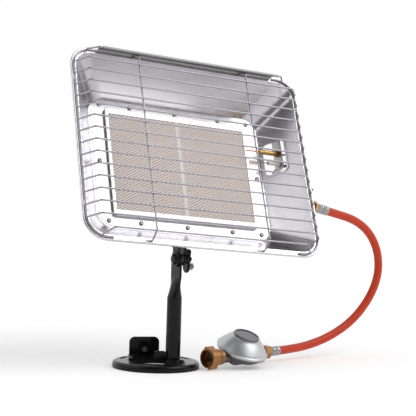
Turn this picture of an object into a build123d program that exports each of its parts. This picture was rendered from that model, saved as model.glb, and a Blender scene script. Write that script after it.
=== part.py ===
from build123d import *
import math
import os

# Gas radiant heater: a tilting burner head on a short pole, a round base ring, and a gas pressure
# regulator lying beside it on its hose.
# Millimetres. The origin is the middle of the base ring on the floor, the front faces -Y, +Z is up
# and the gas side is +X.

# Burner plaques, a standard size from which the frame, the pan and the gas chamber follow
tile_width = 92.0
tile_height = 132.0
tile_thickness = 13.0
tile_gap = 0.8
tile_fit = 0.5
tile_corner = 1.0
seam_strip_width = 5.4
seam_strip_thickness = 0.6

# Pressed frame that holds the plaques: window, raised step and flat land with its screws
frame_sheet = 0.7
frame_lap_side = 1.4
frame_lap_top = 3.0
frame_step_side = 2.6
frame_step_top = 4.5
frame_window_width = 2 * tile_width + tile_gap - 2 * frame_lap_side
frame_window_height = tile_height - 2 * frame_lap_top
frame_step_width = 2 * tile_width + tile_gap + 2 * frame_step_side
frame_step_height = tile_height + 2 * frame_step_top
frame_step_corner = 5.0
frame_step_rise = 4.0
frame_margin = 2.0
land_side = 19.0
land_top = 13.5
screw_row = frame_step_height / 2 + 5.5
screw_column_side = frame_step_width / 2 + 5.0
screw_column_inner = 0.6 * screw_column_side
screw_mid_column = frame_step_width / 2 + 10.0
frame_screw_radius = 1.5
frame_screw_head_radius = 2.9
frame_screw_head_height = 1.8
frame_screw_length = 5.0

# Reflector pan, a pressed tray with splayed walls and a rolled rim
pan_back_width = frame_step_width + 2 * land_side
pan_back_height = frame_step_height + 2 * land_top
pan_back_corner = 20.0
pan_splay_side = 31.0
pan_splay_top = 31.5
pan_mouth_width = pan_back_width + 2 * pan_splay_side
pan_mouth_height = pan_back_height + 2 * pan_splay_top
pan_mouth_corner = 21.0
pan_depth = 46.5
pan_sheet = 0.7
pan_flange = 5.5
rim_bead_radius = 1.6
clip_slot_width = 3.4
clip_slot_height = 6.0
clip_slot_rise = 79.0
window_front = 29.0
window_rear = 4.5
window_low = 3.0
window_high = 45.0
window_corner = 6.0
window_lip_width = 2.4
window_lip_height = 1.3

# Gas chamber behind the plaques, with the ledge that they rest on
box_sheet = 0.8
chamber_ledge_side = 4.4
chamber_ledge_top = 5.0
chamber_width = 2 * tile_width + tile_gap - 2 * chamber_ledge_side
chamber_height = tile_height - 2 * chamber_ledge_top
chamber_depth = 25.0
box_corner = 6.0
box_bend = 2.5
pocket_corner = 1.6

# Gas line in the head
mixing_tube_radius = 9.5
mixing_tube_wall = 1.0
mixing_tube_inside_length = 0.8 * chamber_width
mixing_tube_outside_length = 32.0
air_window_length = 9.0
injector_hex = 12.0
injector_length = 9.0
injector_nozzle_radius = 2.5
injector_nozzle_length = 8.0
gas_pipe_radius = 3.0
gas_pipe_bend = 9.0
valve_axis_x = 157.0
valve_axis_front = 24.0
valve_radius = 7.6
valve_top = -22.0
valve_bottom = -60.0
valve_neck_radius = 5.0
valve_neck_height = 8.0
button_radius = 7.2
button_length = 11.0
button_stem_radius = 3.0
button_travel = 4.0
bracket_sheet = 1.2
gas_line_rise = -40.75
inlet_turn = 16.0
inlet_nut_hex = 13.0
inlet_nut_start = 9.8
inlet_nut_end = 13.8
ferrule_length = 21.6
ferrule_radius = 5.9

# Flame sensor and spark electrode that look through the side window of the pan
sensor_front = 15.0
sensor_rise = 31.0
sensor_radius = 2.9
sensor_length = 25.0
sensor_tip_radius = 0.9
sensor_tip_length = 18.0
sensor_start_x = 129.0
electrode_rise = 16.5
electrode_ceramic_radius = 2.4
electrode_ceramic_length = 16.0
electrode_wire_radius = 0.7
electrode_wire_length = 20.0
pilot_plate_x = 131.0
pilot_plate_low = 8.0
pilot_plate_high = 58.0
spark_bracket_length = 12.0
spark_unit_radius = 6.5
spark_unit_length = 32.0
spark_button_radius = 4.0
spark_button_travel = 5.0
spark_axis_x = 139.0
spark_axis_back = 12.0
spark_low = -20.0
lead_radius = 1.1

# Wire guard
wire_radius = 1.05
cross_wire_count = 14
cross_wire_pitch = 15.09
guard_front = 63.5
guard_half_width = 135.6
guard_bend = 4.0
end_wire_half_width = 122.0
end_wire_rise = 113.5
end_wire_root_half_width = 131.5
upright_spacing = 143.0
upright_root_rise = 118.5
side_rod_inset = 2.5
side_rod_end = 118.0
side_rod_radius = 1.25
weld_gap = 0.1
visor_sheet = 0.6
visor_half_width = 117.0
visor_root_rise = 120.6

# Tilt joint between pole and head
hinge_height = 127.0
hinge_x = 15.45
hinge_y = -22.0
head_tilt = 26.0
head_roll = 4.6
head_shift_x = 24.95
head_shift_back = 0.2
head_rise = 115.0
yoke_sheet = 2.0
yoke_inner_width = 6.5
yoke_eye_radius = 7.6
yoke_web_width = 34.0
yoke_web_low = -66.0
yoke_web_high = -34.0
yoke_screw_rise = -42.0
yoke_screw_spread = 11.0
yoke_screw_radius = 2.0
yoke_screw_head_radius = 3.6
hinge_bolt_radius = 3.0
hinge_bolt_clearance = 0.06
hinge_head_radius = 9.3
hinge_head_height = 3.2
hinge_washer_thickness = 1.2
hinge_clearance = 0.3
bush_radius = 4.7
nut_hub_radius = 5.2
nut_hub_height = 7.0
nut_wing_thickness = 2.6
nut_lobe_drop = 9.4
nut_lobe_radius = 7.2
nut_tail_reach = 12.0
nut_pin_side = 5.8
nut_pin_length = 7.5
nut_turn = 16.0
bolt_end_length = 2.5

# Pole
pole_x = 12.6
pole_y = -18.0
pole_radius = 8.6
pole_wall = 1.5
pole_round_top = 82.0
pole_flat_x = 14.0
pole_flat_start = 107.0
pole_flat_width = 23.4
pole_flat_thickness = 3.0
pole_shoulder = 128.0
pole_ear_radius = 7.4
groove_count = 3
groove_depth = 0.5
groove_width = 1.6

# Base ring, foot of the pole and the clamp that grips a cylinder neck
ring_outer_radius = 50.7
ring_bore_radius = 30.0
ring_height = 8.0
ring_sheet = 1.8
ring_outer_bend = 4.0
ring_inner_bend = 2.5
slot_radius = 41.5
slot_width = 5.0
slot_arc = 20.0
slot_count = 3
slot_first_angle = 11.0
clamp_turn = -15.0
foot_plate_thickness = 2.0
jaw_height = 13.0
jaw_width = 14.0
jaw_line = -15.0
clamp_left = -26.0
clamp_width = 36.0
clamp_front = 6.0
clamp_fold = 33.0
clamp_height = 22.5
clamp_corner = 6.5
clamp_screw_radius = 3.0
clamp_screw_rise = 9.0
clamp_screw_reach = 6.0
clamp_screw_tail = 9.0
clamp_handle_length = 16.0
clamp_handle_radius = 2.0
foot_screw_radius = 2.0
foot_screw_head_radius = 3.4
foot_screw_head_height = 2.4
rivet_radius = 2.0
rivet_head_radius = 3.2

# Regulator, lying on the floor and tipped towards the front
regulator_x = 97.0
regulator_y = -32.0
regulator_z = 20.4
regulator_turn = 16.4
regulator_tip = 21.0
flange_radius = 30.0
flange_thickness = 3.2
cap_radius = 15.4
cap_rise = 20.3
cap_edge = 2.4
gas_axis_drop = 6.4
gas_way_radius = 7.6
gas_way_reach = 33.0
cover_lap = 0.9
cover_bulge = 5.6
body_dish_radius = 25.0
body_dish_depth = 8.5
inlet_nut_face = 56.5
hand_nut_radius = 11.4
hand_nut_length = 22.5
hand_nut_ear_reach = 13.4
hand_nut_ear_width = 6.0
hand_nut_ear_length = 11.0
hand_nut_ear_turn = -37.0
hand_nut_mouth_radius = 9.0
hand_nut_mouth_depth = 8.0
hand_nut_shoulder_depth = 14.2
stem_radius = 5.6
stem_collar_radius = 7.6
stem_nose_length = 4.0
outlet_nut_face = 38.5
outlet_nut_length = 10.0
outlet_nut_hex = 15.0
regulator_ferrule_end = 66.7

# Gas hose: its points are chosen along the photographed route
hose_radius = 5.2
hose_first_run = 19.0
hose_last_run = 18.5
hose_route = [
    (277.4, -0.6, 175.6),
    (305.0, 3.8, 159.6),
    (322.2, 7.4, 134.0),
    (325.8, 9.8, 104.5),
    (314.5, 11.2, 75.4),
    (289.6, 10.7, 47.6),
    (255.0, 8.2, 28.2),
    (217.5, 4.6, 17.2),
]

fit = 0.06
seat = 0.05


# Shared helpers. The head is built in its own frame: X to the right, Z up, and the back sheet of
# the pan at y = 0. A distance in front of that sheet is a depth towards -Y.


def slab(width, height, corner, back, front):
    outline = Plane.XZ.offset(back) * RectangleRounded(width, height, corner)
    return extrude(outline, front - back)


def taper(back_size, back_depth, front_size, front_depth):
    rear = Plane.XZ.offset(back_depth) * RectangleRounded(*back_size)
    mouth = Plane.XZ.offset(front_depth) * RectangleRounded(*front_size)
    return loft([rear, mouth], ruled=True)


def rod(start, direction, radius, length):
    return Solid.make_cylinder(radius, length, Plane(origin=start, z_dir=direction))


def hex_bar(start, direction, across_flats, length, turn=0.0):
    outline = RegularPolygon(across_flats / 2, 6, major_radius=False, rotation=turn)
    return extrude(Plane(origin=start, z_dir=direction) * outline, length)


def block(x, y, z):
    low = (x[0], y[0], z[0])
    return Pos(*low) * Box(x[1] - x[0], y[1] - y[0], z[1] - z[0], align=(Align.MIN, Align.MIN, Align.MIN))


def bent_wire(points, radius, bend):
    path = FilletPolyline(*points, radius=bend)
    start = Plane(origin=points[0], z_dir=Vector(*points[1]) - Vector(*points[0]))
    return sweep(start * Circle(radius), path=path)


def revolved(points, axis=Axis.Z):
    return revolve(make_face(Plane.XZ * Polyline(*points, close=True)), axis=axis)


# Head, in its own frame


def wall_x(depth):
    half_back = pan_back_width / 2
    return half_back + pan_splay_side / pan_depth * depth


def wall_z(depth):
    half_back = pan_back_height / 2
    return half_back + pan_splay_top / pan_depth * depth


def screw_places():
    places = [(x, z) for x in (-screw_column_side, -screw_column_inner, 0.0, screw_column_inner,
                               screw_column_side) for z in (-screw_row, screw_row)]
    return places + [(-screw_mid_column, 0.0), (screw_mid_column, 0.0)]


def screw_holes(back, front):
    return [rod((x, -back, z), (0, -1, 0), frame_screw_radius + fit, front - back)
            for x, z in screw_places()]


def tile_span():
    return 2 * tile_width + tile_gap


def pocket_size(margin):
    return tile_span() + 2 * margin, tile_height + 2 * margin, pocket_corner + margin


def make_reflector_pan():
    wall = 2 * pan_sheet
    back_size = (pan_back_width, pan_back_height, pan_back_corner)
    mouth_size = (pan_mouth_width, pan_mouth_height, pan_mouth_corner)
    outer_back = (back_size[0] + wall, back_size[1] + wall, back_size[2] + pan_sheet)
    outer_mouth = (mouth_size[0] + wall, mouth_size[1] + wall, mouth_size[2] + pan_sheet)
    shell = taper(outer_back, 0, outer_mouth, pan_depth) - taper(back_size, 0, mouth_size, pan_depth)
    back = slab(*outer_back, -pan_sheet, 0)
    back -= slab(*pocket_size(tile_fit + box_sheet), -pan_sheet, 0)
    rim_width = pan_mouth_width + 2 * pan_flange
    rim_height = pan_mouth_height + 2 * pan_flange
    rim_corner = pan_mouth_corner + pan_flange
    flange = slab(rim_width, rim_height, rim_corner, pan_depth - pan_sheet, pan_depth)
    flange -= slab(*mouth_size, pan_depth - pan_sheet, pan_depth)
    slot_x = pan_mouth_width / 2 + pan_sheet + clip_slot_width / 2 + 0.4
    for x in (-slot_x, slot_x):
        for z in (-clip_slot_rise, clip_slot_rise):
            cutter = slab(clip_slot_width, clip_slot_height, 1.0, pan_depth - 2 * pan_sheet, pan_depth)
            flange -= Pos(x, 0, z) * cutter
    bead_path = Plane.XZ.offset(pan_depth - rim_bead_radius + pan_sheet / 2) * RectangleRounded(
        rim_width, rim_height, rim_corner)
    start = Plane(origin=(rim_width / 2, -pan_depth + rim_bead_radius - pan_sheet / 2, 0), z_dir=(0, 0, 1))
    bead = sweep(start * Circle(rim_bead_radius), path=bead_path.wire())
    pan = shell + back + flange + bead + window_block(window_lip_width, -pan_sheet / 2, window_lip_height)
    pan -= window_block(0, -pan_depth / 2, pan_depth / 2)
    return pan - screw_holes(-pan_sheet, 0)


def window_block(margin, start, end):
    """The side window grown by a margin, from start to end along the inward normal of the right wall."""
    outward = wall_outward()
    depth = (window_front + window_rear) / 2
    along_wall = (window_front - window_rear) * math.hypot(pan_splay_side, pan_depth) / pan_depth
    place = Plane(origin=(wall_x(depth), -depth, (window_low + window_high) / 2),
                  x_dir=(-outward[1], outward[0], 0), z_dir=[-value for value in outward])
    outline = RectangleRounded(along_wall + 2 * margin, window_high - window_low + 2 * margin,
                               window_corner + margin)
    return extrude(place.offset(start) * outline, end - start)


def make_burner_frame():
    flange_width = pan_back_width - 2 * frame_margin
    flange_height = pan_back_height - 2 * frame_margin
    flange_corner = pan_back_corner - frame_margin
    step = (frame_step_width, frame_step_height, frame_step_corner)
    inner = (frame_step_width - 2 * frame_sheet, frame_step_height - 2 * frame_sheet,
             frame_step_corner - frame_sheet)
    plate = slab(flange_width, flange_height, flange_corner, 0, frame_sheet)
    raised = slab(*step, 0, frame_step_rise + frame_sheet)
    raised = fillet(raised.faces().sort_by(Axis.Y)[0].outer_wire().edges(), frame_sheet)
    frame = plate + raised
    frame -= slab(*inner, 0, frame_step_rise)
    frame -= slab(frame_window_width, frame_window_height, 2.0, 0, frame_step_rise + frame_sheet)
    frame -= screw_holes(0, frame_sheet)
    return frame


def tile_face():
    return frame_step_rise - 0.7


def make_tile(side):
    middle = side * (tile_width + tile_gap) / 2
    face = tile_face()
    return Pos(middle, 0, 0) * slab(tile_width, tile_height, tile_corner, face - tile_thickness, face)


def make_seam_strip():
    height = frame_window_height - 0.4
    return slab(seam_strip_width, height, 0.5, tile_face(), tile_face() + seam_strip_thickness)


def make_tile_gasket():
    width = tile_span()
    gasket = slab(width, tile_height, 2.0, tile_face(), frame_step_rise)
    return gasket - slab(frame_window_width, frame_window_height, 2.0, tile_face(), frame_step_rise)


def ledge_depth():
    return tile_thickness - tile_face()


def chamber_back():
    return ledge_depth() + chamber_depth


def make_burner_box():
    pocket = pocket_size(tile_fit)
    outer = pocket_size(tile_fit + box_sheet)
    flange_width = pan_back_width - 2 * frame_margin
    flange_height = pan_back_height - 2 * frame_margin
    flange = slab(flange_width, flange_height, pan_back_corner - frame_margin,
                  -pan_sheet - box_sheet, -pan_sheet)
    upper = slab(*outer, -ledge_depth() - box_sheet, -pan_sheet)
    lower = slab(chamber_width + 2 * box_sheet, chamber_height + 2 * box_sheet, box_corner,
                 -chamber_back() - box_sheet, -ledge_depth())
    lower = fillet(lower.faces().sort_by(Axis.Y)[-1].outer_wire().edges(), box_bend)
    box = flange + upper + lower
    box -= slab(*pocket, -ledge_depth(), -pan_sheet)
    chamber = slab(chamber_width, chamber_height, box_corner - box_sheet, -chamber_back(), -ledge_depth())
    box -= fillet(chamber.faces().sort_by(Axis.Y)[-1].outer_wire().edges(), box_bend - box_sheet)
    box -= rod((chamber_width / 2 - 5, tube_y(), gas_line_rise), (1, 0, 0), mixing_tube_radius + fit, 10)
    box -= screw_holes(-pan_sheet - box_sheet, -pan_sheet)
    for place in yoke_screw_places():
        box -= place * rod((0, 0, 0), (0, -1, 0), yoke_screw_radius + fit, 12)
    return box


def tube_y():
    return ledge_depth() + chamber_depth / 2 + 0.5


def make_frame_screws():
    screws = []
    for x, z in screw_places():
        head_face = -frame_sheet - frame_screw_head_height
        head = rod((x, -frame_sheet, z), (0, -1, 0), frame_screw_head_radius, frame_screw_head_height)
        head = fillet(head.edges().filter_by(GeomType.CIRCLE).sort_by(Axis.Y)[0], 1.0)
        shank = rod((x, head_face + 1.0, z), (0, 1, 0), frame_screw_radius, frame_screw_length)
        screws.append(head + shank)
    return Compound(screws)


def make_mixing_tube():
    inner_end = chamber_width / 2 + box_sheet - mixing_tube_inside_length
    total = mixing_tube_inside_length + mixing_tube_outside_length
    start = (inner_end, tube_y(), gas_line_rise)
    tube = rod(start, (1, 0, 0), mixing_tube_radius, total)
    tube -= rod(start, (1, 0, 0), mixing_tube_radius - mixing_tube_wall, total - 2.0)
    mouth = inner_end + total
    tube -= rod((mouth - 3, tube_y(), gas_line_rise), (1, 0, 0), thread_radius() + fit, 4)
    for rise in (-1, 1):
        low = gas_line_rise + rise * (mixing_tube_radius + 1) - 6
        tube -= block((mouth - 4 - air_window_length, mouth - 4), (tube_y() - 6, tube_y() + 6),
                      (low, low + 12))
    return tube


def tube_mouth():
    return chamber_width / 2 + box_sheet + mixing_tube_outside_length


def thread_radius():
    return 4.0


def make_injector():
    axis = (tube_mouth(), tube_y(), gas_line_rise)
    nut = hex_bar(axis, (1, 0, 0), injector_hex, injector_length)
    thread = rod((axis[0] - 2, axis[1], axis[2]), (1, 0, 0), thread_radius(), 3)
    nozzle_start = axis[0] - 2 - injector_nozzle_length
    nozzle = rod((nozzle_start, axis[1], axis[2]), (1, 0, 0), injector_nozzle_radius,
                 injector_nozzle_length + 1)
    jet = nut + thread + nozzle
    jet -= rod((nozzle_start, axis[1], axis[2]), (1, 0, 0), 0.6, injector_nozzle_length + 14)
    socket_start = axis[0] + injector_length - 5
    return jet - rod((socket_start, axis[1], axis[2]), (1, 0, 0), gas_pipe_radius + fit, 6)


def make_gas_pipe():
    start_x = tube_mouth() + injector_length - 5
    points = [(start_x, tube_y(), gas_line_rise), (valve_axis_x, tube_y(), gas_line_rise),
              (valve_axis_x, -valve_axis_front + valve_radius - 1.5, gas_line_rise)]
    outer = bent_wire(points, gas_pipe_radius, gas_pipe_bend)
    return outer - bent_wire(points, gas_pipe_radius - 1.0, gas_pipe_bend)


def inlet_direction():
    turn = math.radians(inlet_turn)
    return (math.cos(turn), math.sin(turn), 0.0)


def along_inlet(distance):
    direction = inlet_direction()
    return (valve_axis_x + direction[0] * distance, -valve_axis_front + direction[1] * distance,
            gas_line_rise)


def make_valve_body():
    axis = (valve_axis_x, -valve_axis_front)
    length = valve_top - valve_bottom
    body = rod((*axis, valve_bottom), (0, 0, 1), valve_radius, length)
    ends = body.edges().filter_by(GeomType.CIRCLE)
    body = chamfer(ends, 0.8)
    body += rod((*axis, valve_top - 1), (0, 0, 1), valve_neck_radius, valve_neck_height + 1)
    body += rod(along_inlet(valve_radius - 2), inlet_direction(), 5.2, inlet_nut_start - valve_radius + 2)
    body -= rod((*axis, valve_bottom - 1), (0, 0, 1), button_stem_radius + fit, 16)
    pipe_end = (valve_axis_x, -valve_axis_front + valve_radius - 1.5, gas_line_rise)
    return body - rod(pipe_end, (0, 1, 0), gas_pipe_radius + fit, 4)


def make_valve_nut():
    start = (valve_axis_x, -valve_axis_front, valve_top + bracket_sheet)
    nut = hex_bar(start, (0, 0, 1), 14.0, 4.0)
    return nut - rod(start, (0, 0, 1), valve_neck_radius + fit, 4.0)


def make_valve_button():
    axis = (valve_axis_x, -valve_axis_front)
    top = valve_bottom - button_travel - 0.6
    button = rod((*axis, top - button_length), (0, 0, 1), button_radius, button_length)
    button = fillet(button.edges().filter_by(GeomType.CIRCLE).sort_by(Axis.Z)[0], 1.6)
    return button + rod((*axis, top - 1), (0, 0, 1), button_stem_radius, button_travel + 8)


def make_valve_bracket():
    depth = valve_axis_front
    reach = valve_radius + 1.5
    low = valve_top
    rear = 6.0
    points = [
        (wall_x(rear) + pan_sheet + 0.1, -rear),
        (valve_axis_x + 2, -rear),
        (valve_axis_x + reach, -depth + 4),
        (valve_axis_x + reach, -depth - 6),
        (valve_axis_x + 2, -depth - reach),
        (wall_x(depth + reach) + pan_sheet + 0.1, -depth - reach),
    ]
    plate = extrude(Pos(0, 0, low) * make_face(Polyline(*points, close=True)), bracket_sheet)
    wall_points = [points[0], points[-1],
                   (points[-1][0] + bracket_sheet, points[-1][1]),
                   (points[0][0] + bracket_sheet, points[0][1])]
    tab = extrude(Pos(0, 0, low) * make_face(Polyline(*wall_points, close=True)), 13.0)
    bracket = plate + tab
    return bracket - rod((valve_axis_x, -depth, low - 1), (0, 0, 1), valve_neck_radius + fit, 4)


def wall_outward():
    length = math.hypot(pan_splay_side, pan_depth)
    return (pan_depth / length, pan_splay_side / length, 0.0)


def make_pilot_plate():
    low, high = pilot_plate_low, pilot_plate_high
    front = 24.0
    plate = block((pilot_plate_x, pilot_plate_x + bracket_sheet), (-front, -6.0), (low, high))
    lift = pan_sheet + 0.1
    points = [(wall_x(front) + lift + 0.5, -front), (wall_x(8) + lift, -8.0),
              (wall_x(8) + lift + bracket_sheet, -8.0), (pilot_plate_x + bracket_sheet, -front)]
    tab = extrude(Pos(0, 0, window_high + 2) * make_face(Polyline(*points, close=True)),
                  high - window_high - 2)
    bracket = plate + tab
    bracket -= rod((pilot_plate_x - 1, -sensor_front, sensor_rise), (1, 0, 0), 1.9 + fit, 4)
    return bracket - rod((pilot_plate_x - 1, -sensor_front, electrode_rise), (1, 0, 0), 1.7 + fit, 4)


def make_flame_sensor():
    axis = (-sensor_front, sensor_rise)
    sleeve = rod((sensor_start_x, *axis), (-1, 0, 0), sensor_radius, sensor_length)
    front_end = sleeve.edges().filter_by(GeomType.CIRCLE).sort_by(Axis.X)[0]
    sleeve = chamfer(front_end, 0.6)
    collar_start = pilot_plate_x - seat
    collar = hex_bar((collar_start, *axis), (-1, 0, 0), 7.4, collar_start - sensor_start_x + 1.5)
    sleeve_end = sensor_start_x - sensor_length
    tip = rod((sleeve_end + 1, *axis), (-1, 0, 0), sensor_tip_radius, sensor_tip_length + 1)
    root = rod((pilot_plate_x - 1, *axis), (1, 0, 0), 1.9, 7.0)
    return sleeve + collar + tip + root


def make_electrode():
    axis = (-sensor_front, electrode_rise)
    start = pilot_plate_x - seat
    ceramic = rod((start, *axis), (-1, 0, 0), electrode_ceramic_radius, electrode_ceramic_length)
    ceramic += hex_bar((start, *axis), (-1, 0, 0), 6.6, 3.0)
    ceramic += rod((start - 1, *axis), (1, 0, 0), 1.7, 8.0)
    tip_start = (start - electrode_ceramic_length + 1, *axis)
    bend_x = start - electrode_ceramic_length - 6
    tip_end = (bend_x - electrode_wire_length + 6, -sensor_front, electrode_rise + 8)
    points = [tip_start, (bend_x, *axis), tip_end]
    return ceramic + bent_wire(points, electrode_wire_radius, 3.0)


def spark_place():
    return (spark_axis_x, spark_axis_back)


def make_spark_unit():
    axis = spark_place()
    body = rod((*axis, spark_low), (0, 0, 1), spark_unit_radius, spark_unit_length)
    body += rod((*axis, spark_low), (0, 0, 1), spark_unit_radius + 1.5, 2.5)
    body -= rod((*axis, spark_low - 1), (0, 0, 1), spark_button_radius + 0.1, spark_button_travel + 9)
    return body


def make_spark_bracket():
    low = spark_low + 2.5 + seat
    lift = pan_sheet + box_sheet
    hole = rod((*spark_place(), low - 1), (0, 0, 1), spark_unit_radius + fit, 4)
    reach = spark_unit_radius + 2
    right = pan_back_width / 2 - frame_margin
    left = right - spark_bracket_length
    arm = block((left, spark_axis_x + reach), (lift, spark_axis_back + reach), (low, low + bracket_sheet))
    foot = block((left, right), (lift, lift + bracket_sheet), (low, low + spark_bracket_length))
    return (arm + foot) - hole


def make_spark_button():
    axis = spark_place()
    length = spark_button_travel + 9
    button = rod((*axis, spark_low - 7), (0, 0, 1), spark_button_radius, length)
    return fillet(button.edges().filter_by(GeomType.CIRCLE).sort_by(Axis.Z)[0], 1.0)


def make_ignition_lead():
    start = (pilot_plate_x + 7 + 2 * seat, -sensor_front, electrode_rise)
    axis = spark_place()
    end = (*axis, spark_low + spark_unit_length + 2 * seat)
    points = [start, (start[0] + 6, start[1], start[2]), (axis[0], axis[1] - 6, end[2] + 8),
              (*axis, end[2] + 8), end]
    return bent_wire(points, lead_radius, 2.5)


def make_sensor_lead():
    start = (pilot_plate_x + 6 + 2 * seat, -sensor_front, sensor_rise)
    end = (valve_axis_x, -valve_axis_front, valve_top + valve_neck_height + 2 * seat)
    points = [start, (end[0], start[1], start[2]), (end[0], end[1], end[2] + 22), end]
    return bent_wire(points, lead_radius, 5.0)


# Wire guard


def guard_wire(half_width, root_half_width, rise, root_rise, depth, root_depth):
    points = [(-root_half_width, -root_depth, root_rise), (-half_width, -depth, rise),
              (half_width, -depth, rise), (root_half_width, -root_depth, root_rise)]
    return bent_wire(points, wire_radius, guard_bend)


def rod_top():
    return pan_depth + 2 * side_rod_radius


def rod_line():
    half_width = pan_mouth_width / 2 + pan_flange - side_rod_inset
    half_height = pan_mouth_height / 2 + pan_flange - side_rod_inset
    return half_width, half_height, pan_mouth_corner + pan_flange - side_rod_inset


def rod_rise_at(x):
    half_width, half_height, corner = rod_line()
    offset = x - (half_width - corner)
    return half_height - corner + math.sqrt(corner ** 2 - offset ** 2)


def make_cross_wires():
    first = -cross_wire_pitch * (cross_wire_count - 1) / 2
    root = rod_top() + weld_gap + 0.75
    root_half_width = rod_line()[0] - 0.4
    wires = []
    for index in range(cross_wire_count):
        rise = first + index * cross_wire_pitch
        wires.append(guard_wire(guard_half_width, root_half_width, rise, rise, guard_front, root))
    root_rise = rod_rise_at(end_wire_root_half_width)
    for side in (-1, 1):
        wires.append(guard_wire(end_wire_half_width, end_wire_root_half_width, side * end_wire_rise,
                                side * root_rise, guard_front, root + 0.2))
    return Compound(wires)


def make_upright_wires():
    depth = guard_front - 2 * wire_radius - 0.05
    wires = []
    for x in (-upright_spacing / 2, upright_spacing / 2):
        top = end_wire_rise - 1.5
        points = [(x, -pan_depth - 0.9, -upright_root_rise), (x, -depth, -top), (x, -depth, top),
                  (x, -pan_depth - 0.9, upright_root_rise)]
        wires.append(bent_wire(points, wire_radius, guard_bend))
    return Compound(wires)


def make_side_rods():
    depth = -pan_depth - side_rod_radius
    half_width, half_height, corner = rod_line()
    rods = []
    for side in (-1, 1):
        far = side * half_width
        points = [(side * side_rod_end, depth, -half_height), (far, depth, -half_height),
                  (far, depth, half_height), (side * side_rod_end, depth, half_height)]
        rods.append(bent_wire(points, side_rod_radius, corner))
    return Compound(rods)


def make_visor():
    curl = wire_radius + 0.12 + visor_sheet / 2
    line = []
    for angle in range(265, 110, -15):
        turn = math.radians(angle)
        line.append((-guard_front + curl * math.cos(turn), end_wire_rise + curl * math.sin(turn)))
    line.append((-pan_depth - 2.2, visor_root_rise))
    line.append((-pan_depth - visor_sheet / 2 - 0.1, visor_root_rise - 1.6))
    profile = Plane.YZ * trace(Polyline(*line), visor_sheet)
    return Pos(-visor_half_width, 0, 0) * extrude(profile, 2 * visor_half_width)


# Yoke between head and pole, in the frame of the tilting arm: like the head's, but without its roll


def yoke_middle():
    return -head_shift_x


def yoke_back():
    return chamber_back() + box_sheet


def yoke_screw_places():
    unroll = Rot(0, -head_roll, 0)
    return [unroll * Pos(yoke_middle() + side * yoke_screw_spread, yoke_back() + yoke_sheet, yoke_screw_rise)
            for side in (-1, 1)]


def leg_spans():
    middle = yoke_middle()
    inner = yoke_inner_width / 2
    return [(middle - inner - yoke_sheet, middle - inner), (middle + inner, middle + inner + yoke_sheet)]


def from_hinge(back, up):
    """A place in the side view, measured level and plumb from the hinge, in the frame of the arm."""
    tilt = math.radians(head_tilt)
    return (back * math.cos(tilt) - up * math.sin(tilt) - head_shift_back,
            back * math.sin(tilt) + up * math.cos(tilt) - head_rise)


def make_yoke():
    back = yoke_back()
    eye = from_hinge(0, 0)
    side = [
        (back, yoke_web_low + 8.0),
        (back + yoke_sheet, yoke_web_low + 8.0),
        (back + yoke_sheet, yoke_web_low - 8.0),
        from_hinge(yoke_eye_radius - 0.2, 13.0),
        from_hinge(yoke_eye_radius - 0.4, 2.0),
        from_hinge(-yoke_eye_radius + 0.6, 2.6),
        from_hinge(-yoke_eye_radius + 1.0, 15.0),
        from_hinge(-1.0, 20.5),
        from_hinge(17.0, 22.5),
        (back - 3.0, yoke_web_low),
        (back, yoke_web_low),
    ]
    legs = []
    for low, high in leg_spans():
        outline = make_face(Polyline(*side, close=True))
        leg = Pos(low, 0, 0) * extrude(Plane.YZ * outline, high - low)
        leg += rod((low, *eye), (1, 0, 0), yoke_eye_radius, high - low)
        legs.append(leg)
    half = yoke_web_width / 2
    web = block((yoke_middle() - half, yoke_middle() + half), (back, back + yoke_sheet),
                (yoke_web_low, yoke_web_high))
    yoke = legs[0] + legs[1] + web
    yoke -= rod((leg_spans()[0][0] - 1, *eye), (1, 0, 0), hinge_bolt_radius + hinge_bolt_clearance, 30)
    for place in yoke_screw_places():
        yoke -= Rot(0, head_roll, 0) * place * rod((0, 1, 0), (0, -1, 0), yoke_screw_radius + fit, 10)
    return yoke


def make_yoke_screws():
    screws = []
    for place in yoke_screw_places():
        head = rod((0, 0, 0), (0, 1, 0), yoke_screw_head_radius, 2.6)
        head = fillet(head.edges().filter_by(GeomType.CIRCLE).sort_by(Axis.Y)[-1], 1.2)
        screw = head + rod((0, 0.5, 0), (0, -1, 0), yoke_screw_radius, 4)
        screws.append(Rot(0, head_roll, 0) * place * screw)
    return Compound(screws)


# Tilt joint pieces, in the frame of the floor, along the bolt


def bolt_axis(x):
    return (x, hinge_y, hinge_height)


def leg_edges():
    half = yoke_inner_width / 2
    return hinge_x - half - yoke_sheet, hinge_x + half + yoke_sheet


def make_hinge_bolt():
    left, right = leg_edges()
    head_start = left - hinge_washer_thickness
    end = right + hinge_clearance + nut_hub_height + bolt_end_length
    rim = hinge_bolt_radius + 3.6
    profile = [(0, 0), (rim, 0), (rim - 0.6, 1.6), (rim - 2.2, 2.8), (0, hinge_head_height)]
    head = Plane(origin=bolt_axis(head_start), z_dir=(-1, 0, 0)).location * revolved(profile)
    shank = rod(bolt_axis(head_start - 0.5), (1, 0, 0), hinge_bolt_radius, end - head_start + 0.5)
    shank = chamfer(shank.edges().filter_by(GeomType.CIRCLE).sort_by(Axis.X)[-1], 0.7)
    return head + shank


def make_hinge_washer():
    left = leg_edges()[0]
    washer = rod(bolt_axis(left), (-1, 0, 0), hinge_head_radius, hinge_washer_thickness)
    washer = fillet(washer.edges().filter_by(GeomType.CIRCLE).sort_by(Axis.X)[0], 0.8)
    return washer - rod(bolt_axis(left + 1), (-1, 0, 0), hinge_bolt_radius + fit, 4)


def make_hinge_bush():
    start = pole_flat_x + pole_flat_thickness / 2 + hinge_clearance
    end = leg_edges()[1] - yoke_sheet - seat
    bush = rod(bolt_axis(start), (1, 0, 0), bush_radius, end - start)
    return bush - rod(bolt_axis(start - 1), (1, 0, 0), hinge_bolt_radius + fit, end - start + 2)


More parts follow.
